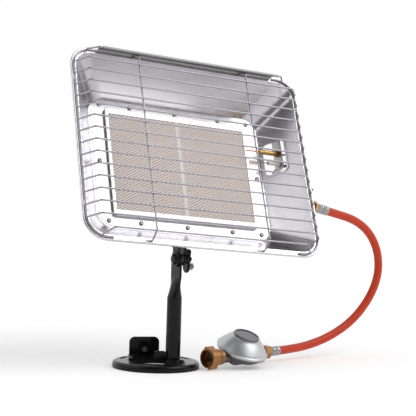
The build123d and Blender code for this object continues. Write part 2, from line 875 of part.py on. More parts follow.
def nut_start():
    return leg_edges()[1] + hinge_clearance


def nut_place():
    return Pos(*bolt_axis(nut_start())) * Rot(nut_turn, 0, 0)


def make_wing_nut():
    hub = rod((0, 0, 0), (1, 0, 0), nut_hub_radius, nut_hub_height)
    lobe_x = nut_hub_height - nut_wing_thickness - 0.6
    lobe = rod((lobe_x, 0, -nut_lobe_drop), (1, 0, 0), nut_lobe_radius, nut_wing_thickness)
    lobe = fillet(lobe.edges().filter_by(GeomType.CIRCLE), 0.9)
    side = nut_tail_reach - 2
    outline = Polyline((-4.2, 2.0), (-3.6, side), (-1.0, nut_tail_reach), (4.6, side + 1), (4.2, 2.0),
                       close=True)
    tail = Pos(lobe_x, 0, 0) * extrude(Plane.YZ * make_face(outline), nut_wing_thickness)
    nut = hub + lobe + tail
    bore = rod((-1, 0, 0), (1, 0, 0), hinge_bolt_radius + hinge_bolt_clearance, nut_hub_height + 2)
    return nut_place() * (nut - bore)


def make_nut_pin():
    place = Plane(origin=(nut_hub_height - 0.6, 0, -nut_lobe_drop), z_dir=(1, 0, 0))
    pin = extrude(place * Rot(0, 0, 38) * Rectangle(nut_pin_side, nut_pin_side), nut_pin_length)
    return nut_place() * chamfer(pin.faces().sort_by(Axis.X)[-1].edges(), 0.7)


# Pole and base


def make_pole():
    bottom = ring_height + foot_plate_thickness
    lower = Pos(pole_x, pole_y, bottom) * extrude(Circle(pole_radius), pole_round_top - bottom)
    round_end = Pos(pole_x, pole_y, pole_round_top) * Circle(pole_radius)
    flat_end = Pos(pole_flat_x, pole_y, pole_flat_start) * RectangleRounded(
        pole_flat_thickness, pole_flat_width, pole_flat_thickness / 2 - 0.05)
    neck = loft([round_end, flat_end])
    flat = extrude(flat_end, pole_shoulder - pole_flat_start)
    middle_x = pole_flat_x - pole_flat_thickness / 2
    ear = rod((middle_x, hinge_y, hinge_height), (1, 0, 0), pole_ear_radius, pole_flat_thickness)
    pole = lower + neck + flat + ear
    hollow = extrude(Circle(pole_radius - pole_wall), pole_round_top - bottom - 4)
    pole -= Pos(pole_x, pole_y, bottom) * hollow
    for index in range(groove_count):
        y = pole_y + (index - (groove_count - 1) / 2) * pole_flat_width / (groove_count + 1)
        for x in (middle_x, middle_x + pole_flat_thickness):
            pole -= rod((x, y, pole_flat_start + 1.5), (0, 0, 1), groove_depth, 7.5)
    return pole - rod((middle_x - 1, hinge_y, hinge_height), (1, 0, 0),
                      hinge_bolt_radius + hinge_bolt_clearance, pole_flat_thickness + 2)


def make_base_ring():
    outer, bore, top, sheet = ring_outer_radius, ring_bore_radius, ring_height, ring_sheet
    big, small = ring_outer_bend, ring_inner_bend
    outside = Line((outer, 0), (outer, top - big))
    shoulder = CenterArc((outer - big, top - big), big, 0, 90)
    roof = Line((outer - big, top), (bore + small, top))
    inner_turn = CenterArc((bore + small, top - small), small, 90, 90)
    lip = Line((bore, top - small), (bore, 0))
    lip_end = Line((bore, 0), (bore + sheet, 0))
    lip_back = Line((bore + sheet, 0), (bore + sheet, top - small))
    inner_back = CenterArc((bore + small, top - small), small - sheet, 90, 90)
    under = Line((bore + small, top - sheet), (outer - big, top - sheet))
    shoulder_back = CenterArc((outer - big, top - big), big - sheet, 0, 90)
    outside_back = Line((outer - sheet, top - big), (outer - sheet, 0))
    foot = Line((outer - sheet, 0), (outer, 0))
    outline = make_face([outside, shoulder, roof, inner_turn, lip, lip_end, lip_back, inner_back, under,
                         shoulder_back, outside_back, foot])
    ring = revolve(Plane.XZ * outline, axis=Axis.Z)
    for index in range(slot_count):
        middle = slot_first_angle + index * 360 / slot_count
        slot = Rot(0, 0, middle) * extrude(
            SlotArc(CenterArc((0, 0), slot_radius, -slot_arc / 2, slot_arc), slot_width), top + 1)
        ring -= slot
    for x, y in screw_spots() + rivet_spots():
        ring -= clamp_frame() * rod((x, y, 0), (0, 0, 1), foot_screw_radius + fit, top + 1)
    return ring


def clamp_frame():
    return Rot(0, 0, clamp_turn)


def screw_spots():
    return [(8.5, -35.5), (16.0, -35.5), (23.5, -28.5)]


def rivet_spots():
    return [(-20.0, 27.0), (3.0, 36.4)]


def make_foot_plate():
    outline = Polyline((3, -43), (22, -40.5), (29, -26), (29, -4), (9, -4), (8, jaw_line),
                       (8 - jaw_width, jaw_line), (8 - jaw_width, -23), (3, -25), close=True)
    plate = Pos(0, 0, ring_height) * extrude(make_face(outline), foot_plate_thickness)
    plate = fillet(plate.edges().filter_by(Axis.Z).group_by(Axis.Y)[0], 3.0)
    jaw = block((8 - jaw_width, 8), (jaw_line - foot_plate_thickness, jaw_line),
                (ring_height, ring_height + jaw_height))
    tops = jaw.edges().filter_by(Axis.Y).sort_by(Axis.Z)[-2:]
    plate += fillet(tops, 3.0)
    for x, y in screw_spots():
        plate -= rod((x, y, ring_height - 1), (0, 0, 1), foot_screw_radius + fit, 5)
    return clamp_frame() * plate


def make_foot_screws():
    screws = []
    for x, y in screw_spots():
        base = ring_height + foot_plate_thickness
        head = rod((x, y, base), (0, 0, 1), foot_screw_head_radius, foot_screw_head_height)
        head = fillet(head.edges().filter_by(GeomType.CIRCLE).sort_by(Axis.Z)[-1], 1.2)
        screws.append(clamp_frame() * (head + rod((x, y, base + 1), (0, 0, -1), foot_screw_radius, 7)))
    return Compound(screws)


def make_clamp_bracket():
    sheet = foot_plate_thickness
    left, right = clamp_left, clamp_left + clamp_width
    floor_plate = block((left, right), (clamp_front, clamp_fold + 7), (ring_height, ring_height + sheet))
    floor_plate = fillet(floor_plate.edges().filter_by(Axis.Z), 4.0)
    flap_top = ring_height + clamp_height + 1
    flap = block((left, right), (clamp_fold - sheet, clamp_fold), (ring_height, flap_top))
    flap = fillet(flap.edges().filter_by(Axis.Y).sort_by(Axis.Z)[-2:], clamp_corner)
    bracket = floor_plate + flap
    for x, y in rivet_spots():
        bracket -= rod((x, y, ring_height - 1), (0, 0, 1), rivet_radius + fit, 5)
    bracket -= rod(clamp_screw_start(2), (0, 1, 0), clamp_screw_radius + hinge_bolt_clearance, 12)
    return clamp_frame() * bracket


def clamp_screw_start(offset):
    middle = clamp_left + clamp_width / 2
    return (middle, clamp_fold - foot_plate_thickness - offset, ring_height + clamp_screw_rise)


def make_clamp_rivets():
    rivets = []
    for x, y in rivet_spots():
        base = ring_height + foot_plate_thickness
        head = rod((x, y, base), (0, 0, 1), rivet_head_radius, 1.4)
        head = fillet(head.edges().filter_by(GeomType.CIRCLE).sort_by(Axis.Z)[-1], 0.9)
        rivets.append(clamp_frame() * (head + rod((x, y, base + 1), (0, 0, -1), rivet_radius, 6)))
    return Compound(rivets)


def make_clamp_screw():
    total = clamp_screw_reach + foot_plate_thickness + clamp_screw_tail
    start = clamp_screw_start(clamp_screw_reach)
    screw = rod(start, (0, 1, 0), clamp_screw_radius, total)
    hub = rod((start[0], start[1] + total - 1, start[2]), (0, 1, 0), 4.4, 6)
    bar_middle = start[1] + total + 2
    bar = rod((start[0] - clamp_handle_length / 2, bar_middle, start[2]), (1, 0, 0), clamp_handle_radius,
              clamp_handle_length)
    return clamp_frame() * (screw + hub + bar)


# Regulator, in its own frame: X from inlet to outlet, Z out of the bell


def gas_axis(x):
    return (x, 0, -gas_axis_drop)


def make_regulator_body():
    dish = [(0, 0), (flange_radius, 0), (flange_radius, -1.6), (body_dish_radius + 1.5, -2.2),
            (body_dish_radius - 2, -body_dish_depth + 1), (body_dish_radius - 5, -body_dish_depth - 1),
            (0, -body_dish_depth - 1)]
    body = revolved(dish)
    left = gas_way_reach
    way = rod(gas_axis(-left), (1, 0, 0), gas_way_radius, left + outlet_nut_face - 1.5)
    body += way
    body += rod(gas_axis(outlet_nut_face - 2), (1, 0, 0), 5.2, 4)
    base = block((-18, 18), (-9, 9), (-gas_axis_drop - gas_way_radius - 0.4, -gas_axis_drop))
    body += fillet(base.edges().filter_by(Axis.Z), 4.0)
    body -= extrude(Circle(flange_radius + cover_lap + 0.3), gas_way_radius)
    body -= rod(gas_axis(-left - 1), (1, 0, 0), stem_radius + fit, 13)
    return body


def make_regulator_cover():
    edge = flange_thickness - 1.0
    rim = flange_radius + cover_lap
    top = cap_rise - cap_edge
    shoulder = cap_radius + 0.9
    profile = [
        Line((0, seat), (rim, seat)),
        Line((rim, seat), (rim, edge)),
        Line((rim, edge), (rim - 1.0, edge + 0.8)),
        ThreePointArc((rim - 1.0, edge + 0.8), (rim - cover_bulge, (edge + top) / 2 + 1.2),
                      (shoulder + 0.6, top - 1.0)),
        Line((shoulder + 0.6, top - 1.0), (shoulder, top)),
        Line((shoulder, top), (0, top)),
        Line((0, top), (0, seat)),
    ]
    bell = revolve(Plane.XZ * make_face(profile), axis=Axis.Z)
    hollow = revolved([(0, seat), (flange_radius - 6, seat), (cap_radius + 1, cap_rise - 9),
                       (cap_radius - 4, cap_rise - 5), (0, cap_rise - 5)])
    return bell - hollow


def make_regulator_cap():
    low = cap_rise - cap_edge + seat
    disc = Pos(0, 0, low) * extrude(Circle(cap_radius), cap_rise - low)
    disc = fillet(disc.edges().sort_by(Axis.Z)[-1], 0.8)
    recess = Pos(0, 0, cap_rise - 0.7) * extrude(Circle(cap_radius - 2.4), 1)
    return disc - recess


def make_inlet_stem():
    start = -gas_way_reach + 10.0
    end = stem_end()
    stem = rod(gas_axis(start), (-1, 0, 0), stem_radius, start - end)
    shoulder = -inlet_nut_face + hand_nut_shoulder_depth
    collar = rod(gas_axis(shoulder), (-1, 0, 0), stem_collar_radius, 3.0)
    nose = rod(gas_axis(end + 1), (-1, 0, 0), 3.6, stem_nose_length)
    nose = chamfer(nose.edges().filter_by(GeomType.CIRCLE).sort_by(Axis.X)[0], 1.0)
    return stem + collar + nose - rod(gas_axis(start + 1), (-1, 0, 0), 1.5, 60)


def stem_end():
    return -inlet_nut_face + hand_nut_mouth_depth + stem_nose_length - 1


def make_inlet_seal():
    seal = rod(gas_axis(stem_end() - seat), (-1, 0, 0), 5.4, 1.8)
    return seal - rod(gas_axis(stem_end() + 1), (-1, 0, 0), 3.6 + fit, 6)


def make_hand_nut():
    face = -inlet_nut_face
    collar = hand_nut_radius - 0.9
    neck = hand_nut_radius - 2.2
    outline = Polyline((0, hand_nut_radius - 0.5), (0.6, hand_nut_radius), (3.4, hand_nut_radius),
                       (4.4, collar), (hand_nut_length - 9, collar), (hand_nut_length - 6, neck),
                       (hand_nut_length, neck), (hand_nut_length, 0), (0, 0), close=True)
    turned = revolve(make_face(outline), axis=Axis.X)
    ear_profile = SlotOverall(2 * hand_nut_ear_reach, hand_nut_ear_width, rotation=90)
    ears = Pos(1.2, 0, 0) * extrude(Plane.YZ * ear_profile, hand_nut_ear_length)
    nut = Pos(*gas_axis(face)) * (turned + Rot(hand_nut_ear_turn, 0, 0) * ears)
    nut -= rod(gas_axis(face - 1), (1, 0, 0), hand_nut_mouth_radius, hand_nut_mouth_depth + 1)
    nut -= rod(gas_axis(face), (1, 0, 0), stem_collar_radius + 0.3, hand_nut_shoulder_depth + seat)
    return nut - rod(gas_axis(face), (1, 0, 0), stem_radius + fit, hand_nut_length + 1)


def make_outlet_nut():
    nut = hex_bar(gas_axis(outlet_nut_face), (1, 0, 0), outlet_nut_hex, outlet_nut_length, turn=12)
    return nut - rod(gas_axis(outlet_nut_face - 1), (1, 0, 0), 5.2 + fit, 3.2)


def make_ferrule(start, direction, length):
    place = Plane(origin=start, z_dir=direction)
    big = ferrule_radius
    profile = [(0, 0), (big, 0), (big, 3.0), (big - 0.5, 3.8), (big - 0.5, 8.0), (big, 8.8), (big, 11.0),
               (big - 0.5, 11.8), (big - 0.5, length - 4.0), (big, length - 3.0), (big, length), (0, length)]
    return place.location * revolved(profile)


def make_head_hose_nut():
    start = along_inlet(inlet_nut_start)
    return hex_bar(start, inlet_direction(), inlet_nut_hex, inlet_nut_end - inlet_nut_start)


def make_head_ferrule():
    return make_ferrule(along_inlet(inlet_nut_end), inlet_direction(), ferrule_length)


def make_regulator_ferrule():
    start = outlet_nut_face + outlet_nut_length
    return make_ferrule(gas_axis(start), (1, 0, 0), regulator_ferrule_end - start)


def angle_at(before, corner, after):
    first = Vector(*corner) - Vector(*before)
    second = Vector(*after) - Vector(*corner)
    return first.get_angle(second)


def make_hose(first, last):
    after_first = first * Pos(0, 0, hose_first_run)
    before_last = last * Pos(0, 0, hose_last_run)
    points = [tuple(first.position), tuple(after_first.position), *hose_route,
              tuple(before_last.position), tuple(last.position)]
    print("hose points", [[round(value, 1) for value in point] for point in points])
    runs = [(Vector(*b) - Vector(*a)).length for a, b in zip(points, points[1:])]
    radii = []
    for index in range(1, len(points) - 1):
        turn = angle_at(points[index - 1], points[index], points[index + 1])
        shorter = min(runs[index - 1], runs[index])
        radii.append(0.45 * shorter / math.tan(math.radians(turn) / 2))
    path = FilletPolyline(*points, radius=radii)
    start_plane = Plane(origin=points[0], z_dir=Vector(*points[1]) - Vector(*points[0]))
    hose = sweep(start_plane * Circle(hose_radius), path=path)
    expected = math.pi * hose_radius ** 2 * path.length
    print("hose runs", [round(run, 1) for run in runs])
    print("hose radii", [round(radius, 1) for radius in radii])
    print("hose length", round(path.length, 1), "volume", round(hose.volume), "expected", round(expected))
    return hose


# Assembly

tilt = Rot(-head_tilt, 0, 0)
arm_frame = Pos(hinge_x, hinge_y, hinge_height) * tilt * Pos(head_shift_x, head_shift_back, head_rise)
head_frame = arm_frame * Rot(0, head_roll, 0)
regulator_frame = (Pos(regulator_x, regulator_y, regulator_z) * Rot(0, 0, regulator_turn)
                   * Rot(regulator_tip, 0, 0))

head_pieces = {
    "reflector_pan": make_reflector_pan,
    "burner_frame": make_burner_frame,
    "tile_seam_strip": make_seam_strip,
    "tile_gasket": make_tile_gasket,
    "burner_box": make_burner_box,
    "frame_screws": make_frame_screws,
    "mixing_tube": make_mixing_tube,
    "gas_injector": make_injector,
    "gas_pipe": make_gas_pipe,
    "valve_body": make_valve_body,
    "valve_nut": make_valve_nut,
    "valve_button": make_valve_button,
    "valve_bracket": make_valve_bracket,
    "pilot_plate": make_pilot_plate,
    "flame_sensor": make_flame_sensor,
    "spark_electrode": make_electrode,
    "spark_unit": make_spark_unit,
    "spark_bracket": make_spark_bracket,
    "spark_button": make_spark_button,
    "ignition_lead": make_ignition_lead,
    "sensor_lead": make_sensor_lead,
    "guard_cross_wires": make_cross_wires,
    "guard_upright_wires": make_upright_wires,
    "guard_side_rods": make_side_rods,
    "guard_visor": make_visor,
    "head_hose_nut": make_head_hose_nut,
    "head_hose_ferrule": make_head_ferrule,
}
arm_pieces = {
    "head_yoke": make_yoke,
    "yoke_screws": make_yoke_screws,
}
floor_pieces = {
    "hinge_bolt": make_hinge_bolt,
    "hinge_washer": make_hinge_washer,
    "hinge_bush": make_hinge_bush,
    "wing_nut": make_wing_nut,
    "wing_nut_pin": make_nut_pin,
    "pole": make_pole,
    "base_ring": make_base_ring,
    "foot_plate": make_foot_plate,
    "foot_screws": make_foot_screws,
    "clamp_bracket": make_clamp_bracket,
    "clamp_rivets": make_clamp_rivets,
    "clamp_screw": make_clamp_screw,
}
regulator_pieces = {
    "regulator_body": make_regulator_body,
    "regulator_cover": make_regulator_cover,
    "regulator_cap": make_regulator_cap,
    "inlet_stem": make_inlet_stem,
    "inlet_seal": make_inlet_seal,
    "inlet_hand_nut": make_hand_nut,
    "regulator_hose_nut": make_outlet_nut,
    "regulator_hose_ferrule": make_regulator_ferrule,
}

os.makedirs("parts", exist_ok=True)
for group, frame in ((head_pieces, head_frame), (arm_pieces, arm_frame), (floor_pieces, Pos(0, 0, 0)),
                     (regulator_pieces, regulator_frame)):
    for name, make in group.items():
        export_step(frame * make(), f"parts/{name}.step")
for name, side in (("ceramic_tile_left", -1), ("ceramic_tile_right", 1)):
    export_step(head_frame * make_tile(side), f"parts/{name}.step")

head_end = Plane(origin=along_inlet(inlet_nut_end + ferrule_length), z_dir=inlet_direction()).location
regulator_end = Plane(origin=gas_axis(regulator_ferrule_end), z_dir=(1, 0, 0)).location
hose = make_hose(head_frame * head_end, regulator_frame * regulator_end)
export_step(hose, "parts/gas_hose.step")
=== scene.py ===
import math

import bmesh
import bpy
from bpy.props import FloatProperty, FloatVectorProperty, IntProperty, PointerProperty
from mathutils import Matrix, Vector


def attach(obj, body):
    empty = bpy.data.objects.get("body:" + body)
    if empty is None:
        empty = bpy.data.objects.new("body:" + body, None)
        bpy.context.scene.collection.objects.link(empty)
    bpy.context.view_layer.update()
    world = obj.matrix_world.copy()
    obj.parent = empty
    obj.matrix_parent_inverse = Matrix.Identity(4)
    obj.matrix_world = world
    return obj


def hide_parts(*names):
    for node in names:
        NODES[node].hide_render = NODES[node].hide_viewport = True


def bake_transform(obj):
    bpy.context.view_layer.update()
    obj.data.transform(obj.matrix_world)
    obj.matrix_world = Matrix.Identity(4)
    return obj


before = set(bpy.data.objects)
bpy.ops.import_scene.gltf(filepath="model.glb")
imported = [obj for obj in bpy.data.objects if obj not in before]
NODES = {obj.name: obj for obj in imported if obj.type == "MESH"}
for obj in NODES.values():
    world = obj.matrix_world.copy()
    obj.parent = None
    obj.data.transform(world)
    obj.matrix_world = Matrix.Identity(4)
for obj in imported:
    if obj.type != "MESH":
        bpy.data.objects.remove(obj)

bl_info = {
    "name": "Gas Radiant Heater",
    "version": (1, 0, 0),
    "blender": (4, 5, 0),
    "location": "View3D > Sidebar > Heater",
    "description": "Dresses a tilting gas radiant heater on its packed frame",
    "category": "Object",
}

# Places of the burner head and of the regulator, the same as in the part's source
HINGE = Vector((0.01545, -0.022, 0.127))
HEAD_SHIFT = Vector((0.02495, 0.0002, 0.115))
HEAD_TILT = math.radians(26)
HEAD_ROLL = math.radians(4.6)
REGULATOR = Vector((0.0970, -0.0320, 0.0204))
REGULATOR_TURN = math.radians(16.4)
REGULATOR_TIP = math.radians(21.0)

HEAD = (Matrix.Translation(HINGE) @ Matrix.Rotation(-HEAD_TILT, 4, "X") @ Matrix.Translation(HEAD_SHIFT)
        @ Matrix.Rotation(HEAD_ROLL, 4, "Y"))
BELL = (Matrix.Translation(REGULATOR) @ Matrix.Rotation(REGULATOR_TURN, 4, "Z")
        @ Matrix.Rotation(REGULATOR_TIP, 4, "X"))

# Screws that hold the burner frame, across and up from the middle of the head
SCREW_COLUMNS = (-0.100, -0.060, 0.0, 0.060, 0.100)
SCREW_ROW = 0.076
SCREW_MIDDLE = 0.105
FRAME_SHEET = 0.0007

# Where the glazed sleeve of the spark electrode ends, across the head
SLEEVE_END = 0.11495

# Direction from the object to the white backdrop behind it, away from the camera
BACKDROP = (0.487, 0.873)

# The floor under the object shows its shadow and turns white between these distances from its middle
FLOOR_MIDDLE = 0.05
SHADOW_REACH = 0.22
WHITE_FROM = 0.75

# Camera place, view direction and roll, solved from the photograph
CAMERA_PLACE = (-0.632483, -1.247433, 0.203721)
CAMERA_FORWARD = (0.487134, 0.873242, -0.012184)
CAMERA_ROLL = 0.02947

# Bead and dent sizes of the crimped ferrules, and the lengths of the two
FERRULE_EDGE = 0.0004
FERRULE_BEAD = 0.0026
FERRULE_SLOPE = 0.0034
FERRULE_DENT = 0.00035
FERRULE_MIDDLE = 0.44
HEAD_FERRULE_LENGTH = 0.0216
REGULATOR_FERRULE_LENGTH = 0.0182

# Height of the frame screw heads, and the shares of their radius that the cross field and arms take
SCREW_HEIGHT = 0.0018
CROSS_FIELD = 0.44
CROSS_ARM = 0.16

# Route of the gas hose: the same points as in the part's source, in metres
HOSE_ROUTE = [
    (0.2275, -0.0087, 0.1862),
    (0.2458, -0.0047, 0.1826),
    (0.2774, -0.0006, 0.1756),
    (0.3050, 0.0038, 0.1596),
    (0.3222, 0.0074, 0.1340),
    (0.3258, 0.0098, 0.1045),
    (0.3145, 0.0112, 0.0754),
    (0.2896, 0.0107, 0.0476),
    (0.2550, 0.0082, 0.0282),
    (0.2175, 0.0046, 0.0172),
    (0.1781, -0.0057, 0.0144),
    (0.1603, -0.0110, 0.0144),
]


class HeaterSizes(bpy.types.PropertyGroup):
    hose_diameter: FloatProperty(
        name="Hose diameter", description="Outside diameter of the gas hose",
        default=0.0104, unit="LENGTH")
    hose_length: FloatProperty(
        name="Hose length", description="Length of the hose between its two ferrules",
        default=0.349, unit="LENGTH")
    pit_pitch: FloatProperty(
        name="Pit pitch", description="Distance between the dark pits in a row of a ceramic plaque",
        default=0.0059, unit="LENGTH")
    row_pitch: FloatProperty(
        name="Row pitch", description="Distance between two rows of pits",
        default=0.00176, unit="LENGTH")
    screw_head: FloatProperty(
        name="Screw head", description="Diameter of the screw heads on the burner frame",
        default=0.0058, unit="LENGTH")
    ferrule_diameter: FloatProperty(
        name="Ferrule diameter", description="Diameter of the crimped ferrules on the hose",
        default=0.0118, unit="LENGTH")
    crimps: IntProperty(
        name="Crimps", description="Dents that the crimping tool leaves round a ferrule",
        default=8, min=3)


class HeaterColours(bpy.types.PropertyGroup):
    ceramic: FloatVectorProperty(
        name="Ceramic", description="Face of the burner plaques",
        default=(0.95, 0.80, 0.75), size=3, subtype="COLOR")
    seam: FloatVectorProperty(
        name="Seam", description="Cement strip between the plaques",
        default=(0.93, 0.91, 0.90), size=3, subtype="COLOR")
    steel: FloatVectorProperty(
        name="Bright steel", description="Polished sheet of the reflector",
        default=(0.72, 0.705, 0.735), size=3, subtype="COLOR")
    dull_steel: FloatVectorProperty(
        name="Dull steel", description="Pressed sheet behind the reflector",
        default=(0.36, 0.36, 0.36), size=3, subtype="COLOR")
    wire: FloatVectorProperty(
        name="Wire", description="Plated wire of the guard",
        default=(0.37, 0.36, 0.39), size=3, subtype="COLOR")
    zinc: FloatVectorProperty(
        name="Cast zinc", description="Regulator casting",
        default=(0.185, 0.18, 0.195), size=3, subtype="COLOR")
    brass: FloatVectorProperty(
        name="Brass", description="Turned gas fittings",
        default=(0.58, 0.36, 0.13), size=3, subtype="COLOR")
    worn_brass: FloatVectorProperty(
        name="Worn brass", description="Hand nut and hose nut of the regulator, browned by handling",
        default=(0.40, 0.20, 0.08), size=3, subtype="COLOR")
    enamel: FloatVectorProperty(
        name="Black enamel", description="Paint of the pole and the foot",
        default=(0.0045, 0.0042, 0.005), size=3, subtype="COLOR")
    hose: FloatVectorProperty(
        name="Hose", description="Rubber of the gas hose",
        default=(0.55, 0.045, 0.013), size=3, subtype="COLOR")
    button: FloatVectorProperty(
        name="Button", description="Plastic button under the gas valve",
        default=(0.012, 0.11, 0.48), size=3, subtype="COLOR")
    floor: FloatVectorProperty(
        name="Floor", description="Pale studio floor",
        default=(0.92, 0.92, 0.92), size=3, subtype="COLOR")


class HeaterStudio(bpy.types.PropertyGroup):
    lens: FloatProperty(
        name="Lens", description="Focal length of the camera in millimetres",
        default=104.11, min=10.0)
    key_power: FloatProperty(
        name="Key light", description="Power of the large light above the front, in watts",
        default=18.0, min=0.0)
    left_power: FloatProperty(
        name="Left light", description="Power of the light from the left, in watts",
        default=11.0, min=0.0)
    sky: FloatProperty(
        name="Sky", description="Brightness of the light that comes from all round",
        default=0.45, min=0.0)
    dark_side: FloatProperty(
        name="Dark side", description="Brightness of the room behind the camera, as bright metal shows it",
        default=0.16, min=0.0, max=1.0)


def sizes():
    return bpy.context.scene.heater_sizes


def colours():
    return bpy.context.scene.heater_colours


def studio():
    return bpy.context.scene.heater_studio


# Shader maths


class Amount:
    """A socket in a material. Sums and products of amounts add the nodes that work them out."""

    def __init__(self, tree, socket):
        self.tree = tree
        self.socket = socket

    def work(self, operation, *values, clamp=False):
        node = self.tree.nodes.new("ShaderNodeMath")
        node.operation = operation
        node.use_clamp = clamp
        for place, value in enumerate(values):
            if isinstance(value, Amount):
                self.tree.links.new(value.socket, node.inputs[place])
            else:
                node.inputs[place].default_value = value
        return Amount(self.tree, node.outputs[0])

    def __add__(self, other):
        return self.work("ADD", self, other)

    def __radd__(self, other):
        return self.work("ADD", other, self)

    def __sub__(self, other):
        return self.work("SUBTRACT", self, other)

    def __rsub__(self, other):
        return self.work("SUBTRACT", other, self)

    def __mul__(self, other):
        return self.work("MULTIPLY", self, other)

    def __rmul__(self, other):
        return self.work("MULTIPLY", other, self)

    def __truediv__(self, other):
        return self.work("DIVIDE", self, other)

    def __pow__(self, other):
        return self.work("POWER", self, other)

    def floor(self):
        return self.work("FLOOR", self)

    def fraction(self):
        return self.work("FRACT", self)

    def sine(self):
        return self.work("SINE", self)

    def larger(self, other):
        return self.work("MAXIMUM", self, other)

    def rising(self, low, high):
        """0 below low, 1 above high and smooth between."""
        node = self.tree.nodes.new("ShaderNodeMapRange")
        node.interpolation_type = "SMOOTHSTEP"
        node.inputs["From Min"].default_value = low
        node.inputs["From Max"].default_value = high
        self.tree.links.new(self.socket, node.inputs["Value"])
        return Amount(self.tree, node.outputs["Result"])


class Nodes:
    """The nodes of one material or of the surroundings."""

    def __init__(self, tree):
        self.tree = tree

    def node(self, kind, settings=(), inputs=(), output=0):
        node = self.tree.nodes.new(kind)
        for setting, value in dict(settings).items():
            setattr(node, setting, value)
        for socket, value in dict(inputs).items():
            if isinstance(value, Amount):
                self.tree.links.new(value.socket, node.inputs[socket])
            else:
                node.inputs[socket].default_value = value
        return Amount(self.tree, node.outputs[output])

    def seen(self):
        """Three amounts: 1 where a ray comes from the camera, from a mirror and through glass."""
        path = self.tree.nodes.new("ShaderNodeLightPath")
        camera, mirrored, through = [Amount(self.tree, path.outputs[name]) for name in (
            "Is Camera Ray", "Is Glossy Ray", "Is Transmission Ray")]
        return camera, mirrored, through

    def place(self, matrix=None, stretch=(1.0, 1.0, 1.0)):
        """The point on the surface, in the frame of the piece and stretched along its axes."""
        point = self.node("ShaderNodeTexCoord", output="Object")
        if matrix is not None:
            point = self.node("ShaderNodeMapping", {"vector_type": "TEXTURE"}, {
                "Vector": point, "Location": matrix.translation, "Rotation": matrix.to_euler()})
        return self.node("ShaderNodeMapping", {"vector_type": "POINT"}, {"Vector": point, "Scale": stretch})

    def noise(self, point, scale, detail=3.0, roughness=0.55):
        return self.node("ShaderNodeTexNoise", {"noise_dimensions": "3D"}, {
            "Vector": point, "Scale": scale, "Detail": detail, "Roughness": roughness}, "Fac")

    def parts(self, point):
        node = self.tree.nodes.new("ShaderNodeSeparateXYZ")
        self.tree.links.new(point.socket, node.inputs[0])
        return [Amount(self.tree, output) for output in node.outputs]

    def blend(self, amount, first, second):
        """A colour between first and second, by amount."""
        node = self.tree.nodes.new("ShaderNodeMix")
        node.data_type = "RGBA"
        self.tree.links.new(amount.socket, node.inputs["Factor"])
        for label, value in (("A", first), ("B", second)):
            socket = [item for item in node.inputs if item.name == label and item.type == "RGBA"][0]
            if isinstance(value, Amount):
                self.tree.links.new(value.socket, socket)
            else:
                socket.default_value = (*value, 1.0)
        output = [item for item in node.outputs if item.type == "RGBA"][0]
        return Amount(self.tree, output)

    def relief(self, height, depth, strength=1.0, under=None):
        """Bumps of the given height pattern, depth metres deep, laid over another relief."""
        inputs = {"Height": height, "Distance": depth, "Strength": strength}
        if under is not None:
            inputs["Normal"] = under
        return self.node("ShaderNodeBump", {}, inputs, "Normal")


class Finish(Nodes):
    """A material for one kind of surface, built up around its Principled shader."""

    def __init__(self, name, colour, roughness, metallic=0.0, **plain):
        self.material = bpy.data.materials.new(name)
        self.material.use_nodes = True
        super().__init__(self.material.node_tree)
        self.surface = self.tree.nodes["Principled BSDF"]
        self.set("Base Color", (*colour, 1.0))
        self.set("Roughness", roughness)
        self.set("Metallic", metallic)
        for name_of_socket, value in plain.items():
            self.set(name_of_socket.replace("_", " "), value)

    def set(self, socket, value):
        if isinstance(value, Amount):
            self.tree.links.new(value.socket, self.surface.inputs[socket])
        else:
            self.surface.inputs[socket].default_value = value


def shade(colour, factor):
    return tuple(min(1.0, channel * factor) for channel in colour)


# Finishes


def bright_sheet(name, matrix, colour, roughness, grain=(1.0, 60.0, 60.0)):
    """Polished or brushed sheet metal: fine drawn lines, soft waves from the press and light smears."""
    finish = Finish(name, colour, roughness, 1.0)
    lines = finish.noise(finish.place(matrix, grain), 60.0, 2.0)
    smears = finish.noise(finish.place(matrix), 22.0, 4.0, 0.6)
    waves = finish.noise(finish.place(matrix), 14.0, 1.0)
    finish.set("Base Color", finish.blend(smears, shade(colour, 0.86), shade(colour, 1.06)))
    finish.set("Roughness", roughness * 0.7 + lines * (roughness * 0.35) + smears * (roughness * 0.3))
    finish.set("Normal", finish.relief(lines, 0.00004, 0.5, finish.relief(waves, 0.0006, 0.5)))
    return finish.material


def ceramic_face():
    """Ceramic plaque: staggered rows of burner pits in pale clay, the pits painted dark as painted shade in
    the holes, between fine slanting ridges.
    """
    tone = colours().ceramic
    finish = Finish("perforated_ceramic", tone, 0.85)
    across, depth, up = finish.parts(finish.place(HEAD))
    row = up / sizes().row_pitch
    along = across / sizes().pit_pitch + row.floor() * 0.5
    u = (along.fraction() - 0.5) * 3.2
    v = (row.fraction() - 0.5) * 2.1
    pit = 1.0 - ((u * u + v * v) ** 0.5).rising(0.5, 1.0)
    ridge = (across * 900.0 + up * 1350.0).sine() * 0.5 + 0.5
    grime = finish.noise(finish.place(HEAD), 90.0, 4.0, 0.6)
    speck = finish.noise(finish.place(HEAD), 900.0, 2.0)
    clay = finish.blend(grime, shade(tone, 0.94), shade(tone, 1.14))
    # Painted highlight: the ridge crests are coloured up to 1.2 of the clay tone, as if lit
    clay = finish.blend(ridge * 0.4, clay, shade(tone, 1.2))
    clay = finish.blend(speck * 0.2, clay, shade(tone, 0.8))
    # Painted shade: the pits are coloured 0.42 of the clay tone for the shade inside the holes
    finish.set("Base Color", finish.blend(pit, clay, shade(tone, 0.42)))
    finish.set("Roughness", 0.8 + speck * 0.15)
    finish.set("Normal", finish.relief(1.0 - pit, 0.0006, 0.8, finish.relief(ridge, 0.0002, 0.5)))
    return finish.material


